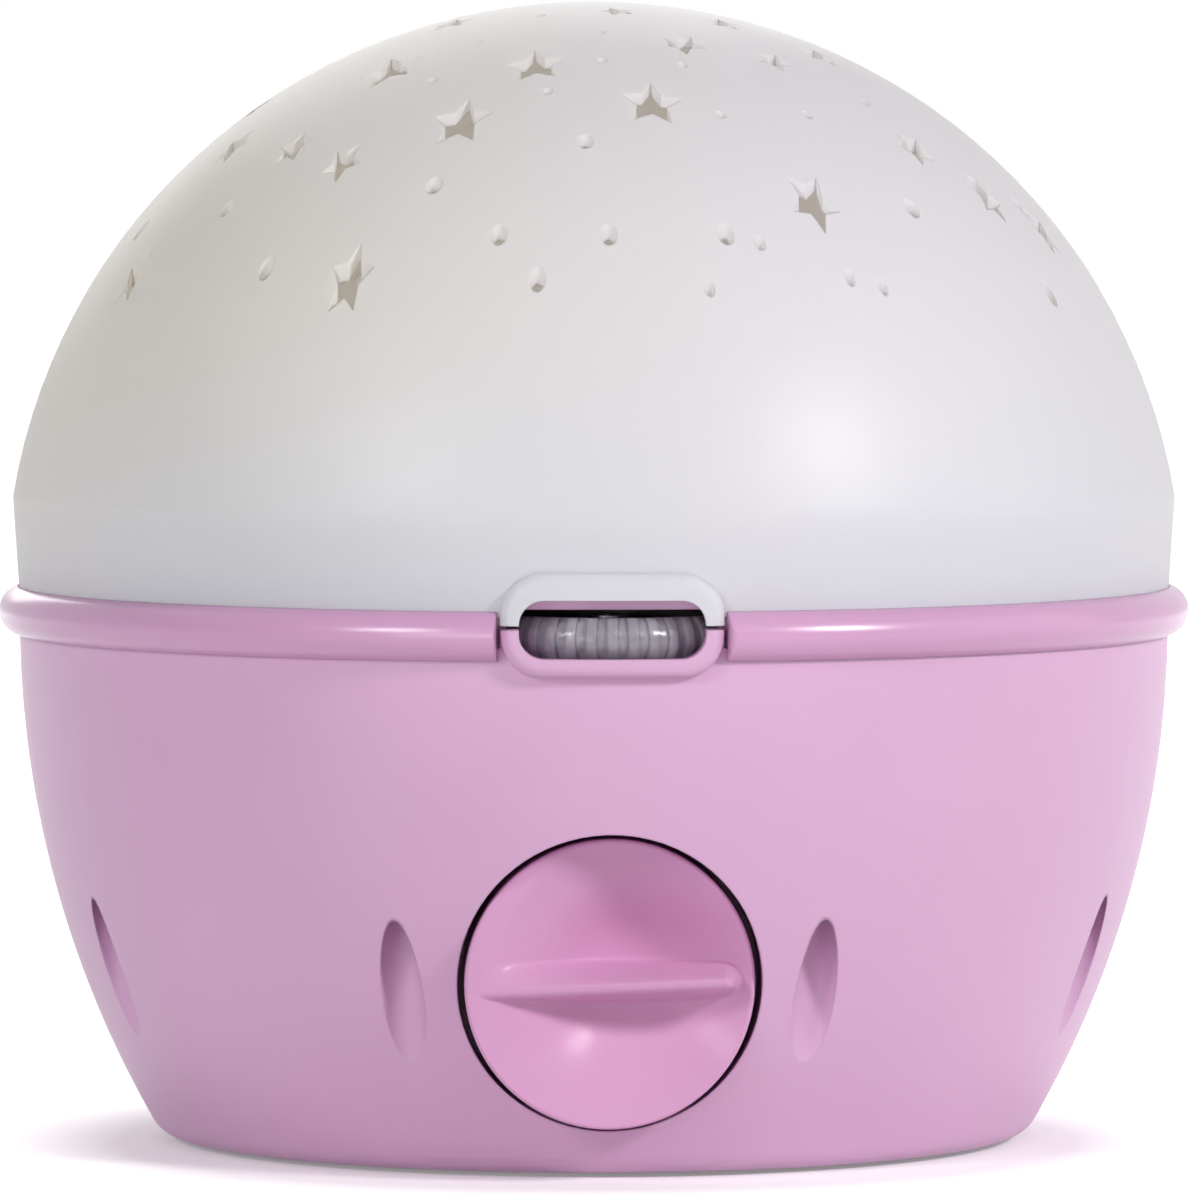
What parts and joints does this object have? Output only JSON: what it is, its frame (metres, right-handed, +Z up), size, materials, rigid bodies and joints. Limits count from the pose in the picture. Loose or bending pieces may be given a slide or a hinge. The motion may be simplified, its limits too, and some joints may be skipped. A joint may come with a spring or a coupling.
{
  "type": "star night light projector",
  "caption": "Round baby night light: a white dome pierced with stars on a pink base, with a thumb wheel in a window, a dished selector knob in a well, a battery box and a speaker in the underside.",
  "frame": {"origin": "centre of the footprint, on the surface that it stands on", "axes": "+Z up, -Y towards the front with the knob and the wheel, +X to the right seen from the front"},
  "size_m": [0.15, 0.1494, 0.1431],
  "materials": {
    "dome_white": "satin",
    "base_pink": "satin",
    "trim_pink": "gloss",
    "wheel_grey": "gloss",
    "deck_cream": "matte",
    "dark_plastic": "matte",
    "board_green": "satin",
    "steel": "satin",
    "foot_rubber": "matte",
    "lamp_clear": "gloss"
  },
  "bodies": {
    "base": {"dome_shell": "dome_white", "base_shell": "base_pink", "rim_ring": "trim_pink", "wheel_pot": "dark_plastic", "wheel_board": "board_green", "wheel_board_screws": "steel", "switch_body": "dark_plastic", "switch_nut": "steel", "light_deck": "deck_cream", "deck_screws": "steel", "lamp_board": "board_green", "lamps": "lamp_clear", "main_board": "board_green", "board_parts": "dark_plastic", "board_screws": "steel", "speaker_frame": "steel", "speaker_cone": "dark_plastic", "speaker_magnet": "dark_plastic", "speaker_screws": "steel", "bottom_plate": "base_pink", "plate_screws": "steel", "feet": "foot_rubber", "batteries": "dark_plastic", "contact_plates": "steel", "contact_springs": "steel"},
    "volume_wheel": {"thumb_wheel": "wheel_grey", "wheel_spindle": "dark_plastic", "wheel_screw": "steel"},
    "selector": {"selector_knob": "trim_pink", "switch_shaft": "steel"},
    "door": {"battery_door": "base_pink", "door_screw": "steel"}
  },
  "joints": [
    {"name": "volume_turn", "type": "hinge", "parent": "base", "child": "volume_wheel", "pos_m": [0, -0.058, 0.066], "axis": [0, 0, 1], "range_deg": [-145, 145]},
    {"name": "selector_turn", "type": "hinge", "parent": "base", "child": "selector", "pos_m": [0, -0.0665, 0.0245], "axis": [0, -1, 0], "range_deg": [-90, 90]},
    {"name": "battery_door_swing", "type": "hinge", "parent": "base", "child": "door", "pos_m": [0, -0.008, 0.0005], "axis": [-1, 0, 0], "range_deg": [0, 80]}
  ]
}
